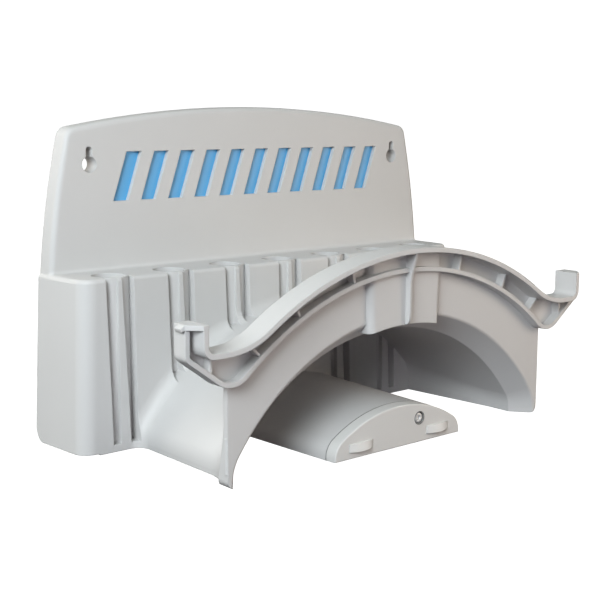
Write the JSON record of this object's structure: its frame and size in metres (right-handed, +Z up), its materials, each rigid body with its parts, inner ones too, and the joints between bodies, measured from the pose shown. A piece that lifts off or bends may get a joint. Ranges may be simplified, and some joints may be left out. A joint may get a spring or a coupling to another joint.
{
  "type": "accessory wall bracket",
  "caption": "Wall bracket with an arched back panel, a shelf of upright tube seats and an arched hose saddle whose raised channel rim ends in hooks, over a half-drum core.",
  "frame": {"origin": "on the wall plane, midway between the round entries of the two keyholes", "axes": "+X along the wall to the right as seen from the front, +Y into the wall, +Z up"},
  "size_m": [0.3772, 0.192, 0.2362],
  "materials": {
    "body": "fine satin grain",
    "inlay": "satin",
    "cap": "fine satin grain",
    "screw": "bright zinc"
  },
  "bodies": {
    "root": {"bracket_body": "body", "inlay_plate": "inlay", "core_cap": "cap", "cap_screw": "screw"}
  },
  "joints": []
}
